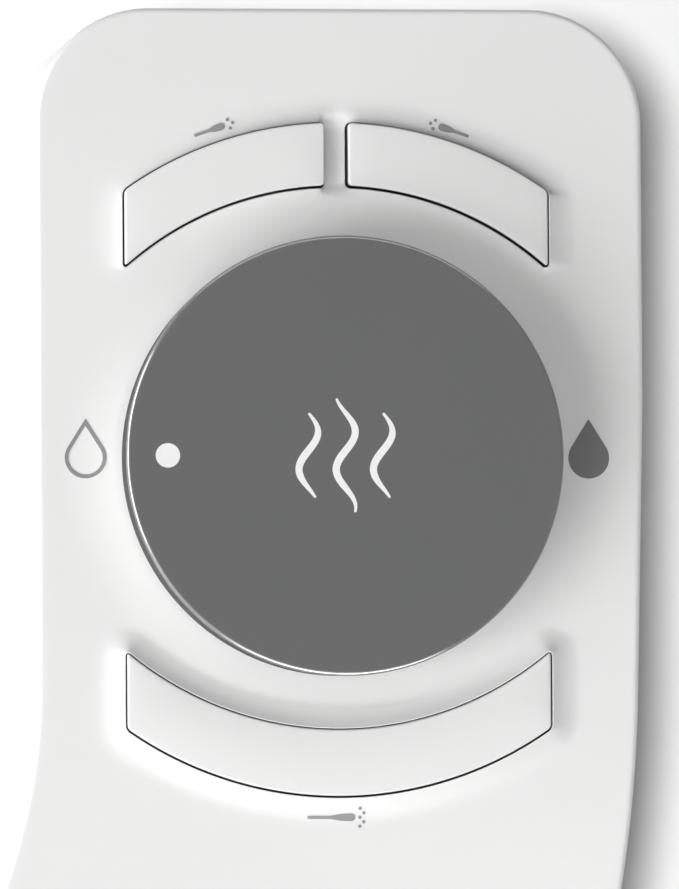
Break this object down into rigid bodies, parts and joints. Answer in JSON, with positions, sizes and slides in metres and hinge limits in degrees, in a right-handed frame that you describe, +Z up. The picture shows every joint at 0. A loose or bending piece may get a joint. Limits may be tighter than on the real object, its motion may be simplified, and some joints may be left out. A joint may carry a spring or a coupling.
{
  "type": "electric bidet seat",
  "caption": "Electric bidet seat with a hinged seat ring and lid, a rear housing with spray nozzles, and a side control arm with a round dial and curved keys.",
  "frame": {"origin": "midway between the two mounting bolts, on the face that lies on the bowl", "axes": "+Z up, -Y towards the front of the bowl, -X towards the control arm (the sitter's right)"},
  "size_m": [0.4967, 0.5216, 0.455],
  "materials": {
    "white_shell": "satin-gloss white ABS",
    "white_key": "satin white ABS",
    "dial_grey": "matte grey face with a polished edge",
    "grey_plastic": "plain moulded",
    "natural_plastic": "moulded acetal",
    "soft_rubber": "moulded rubber",
    "black_rubber": "moulded rubber",
    "steel": "turned steel",
    "zinc_screw": "zinc plated",
    "circuit_board": "solder mask",
    "switch_black": "moulded",
    "filter_mesh": "woven steel mesh",
    "heater_foil": "polyimide foil",
    "clear_cell": "translucent moulded",
    "hose_white": "silicone hose"
  },
  "bodies": {
    "housing": {"rear_cover": "white_shell", "rear_base": "white_shell", "arm_cover": "white_shell", "arm_base": "white_shell", "mounting_plate": "natural_plastic", "plate_pad": "soft_rubber", "base_feet": "soft_rubber", "cover_screws": "zinc_screw", "arm_screws": "zinc_screw", "pcb_screws": "zinc_screw", "control_pcb": "circuit_board", "tact_switches": "switch_black", "encoder_body": "switch_black", "dial_seal": "black_rubber", "main_pcb": "circuit_board", "power_module": "switch_black", "water_heater": "grey_plastic", "inlet_valve": "natural_plastic", "inlet_strainer": "filter_mesh", "flow_diverter": "natural_plastic", "sanitizer_cell": "clear_cell", "internal_hoses": "hose_white", "wiring_harness": "black_rubber", "mains_inlet_gland": "black_rubber", "nozzle_cradle": "natural_plastic", "nozzle_motors": "steel", "hinge_pins": "steel", "hinge_bushes": "natural_plastic", "seat_damper": "grey_plastic", "lid_damper": "grey_plastic"},
    "dial": {"dial_cap": "dial_grey", "dial_hub": "grey_plastic", "encoder_shaft": "steel"},
    "front_key": {"front_key": "white_key"},
    "rear_key": {"rear_key": "white_key"},
    "sanitize_key": {"sanitize_key": "white_key"},
    "seat": {"seat_top_shell": "white_shell", "seat_bottom_shell": "white_shell", "seat_heater_foil": "heater_foil", "seat_bumpers": "soft_rubber"},
    "lid": {"lid_panel": "white_shell", "lid_bumpers": "soft_rubber", "hinge_caps": "white_shell"},
    "front_nozzle": {"front_nozzle": "natural_plastic", "front_nozzle_tip": "natural_plastic"},
    "rear_nozzle": {"rear_nozzle": "natural_plastic", "rear_nozzle_tip": "natural_plastic"},
    "front_pinion": {"front_pinion": "natural_plastic"},
    "rear_pinion": {"rear_pinion": "natural_plastic"},
    "release_button": {"release_button": "white_shell"}
  },
  "joints": [
    {"name": "dial_turn", "type": "hinge", "parent": "housing", "child": "dial", "pos_m": [-0.24, -0.219, 0.048], "axis": [0, 0, -1], "range_deg": [0, 180]},
    {"name": "front_press", "type": "slide", "parent": "housing", "child": "front_key", "axis": [0, 0, -1], "range_m": [0, 0.0012], "stiffness_N_per_m": 900, "springref_m": -0.001},
    {"name": "rear_press", "type": "slide", "parent": "housing", "child": "rear_key", "axis": [0, 0, -1], "range_m": [0, 0.0012], "stiffness_N_per_m": 900, "springref_m": -0.001},
    {"name": "sanitize_press", "type": "slide", "parent": "housing", "child": "sanitize_key", "axis": [0, 0, -1], "range_m": [0, 0.0012], "stiffness_N_per_m": 900, "springref_m": -0.001},
    {"name": "seat_hinge", "type": "hinge", "parent": "housing", "child": "seat", "pos_m": [0, -0.08, 0.064], "axis": [1, 0, 0], "range_deg": [-97, 0]},
    {"name": "lid_hinge", "type": "hinge", "parent": "housing", "child": "lid", "pos_m": [0, -0.08, 0.064], "axis": [1, 0, 0], "range_deg": [0, 102]},
    {"name": "front_nozzle_slide", "type": "slide", "parent": "housing", "child": "front_nozzle", "axis": [0, -0.9976, -0.0698], "range_m": [0, 0.085]},
    {"name": "rear_nozzle_slide", "type": "slide", "parent": "housing", "child": "rear_nozzle", "axis": [0, -0.9976, -0.0698], "range_m": [0, 0.085]},
    {"name": "front_pinion_turn", "type": "hinge", "parent": "housing", "child": "front_pinion", "pos_m": [-0.01, -0.07785, 0.03424], "axis": [1, 0, 0], "range_deg": [-610, 0]},
    {"name": "rear_pinion_turn", "type": "hinge", "parent": "housing", "child": "rear_pinion", "pos_m": [0.01, -0.07785, 0.03424], "axis": [1, 0, 0], "range_deg": [-610, 0]},
    {"name": "release_press", "type": "slide", "parent": "housing", "child": "release_button", "axis": [-1, 0, 0], "range_m": [0, 0.004], "stiffness_N_per_m": 1200, "springref_m": -0.002}
  ],
  "couplings": [
    {"joint": "front_pinion_turn", "follows": "front_nozzle_slide", "rad_per_m": -125},
    {"joint": "rear_pinion_turn", "follows": "rear_nozzle_slide", "rad_per_m": -125}
  ]
}
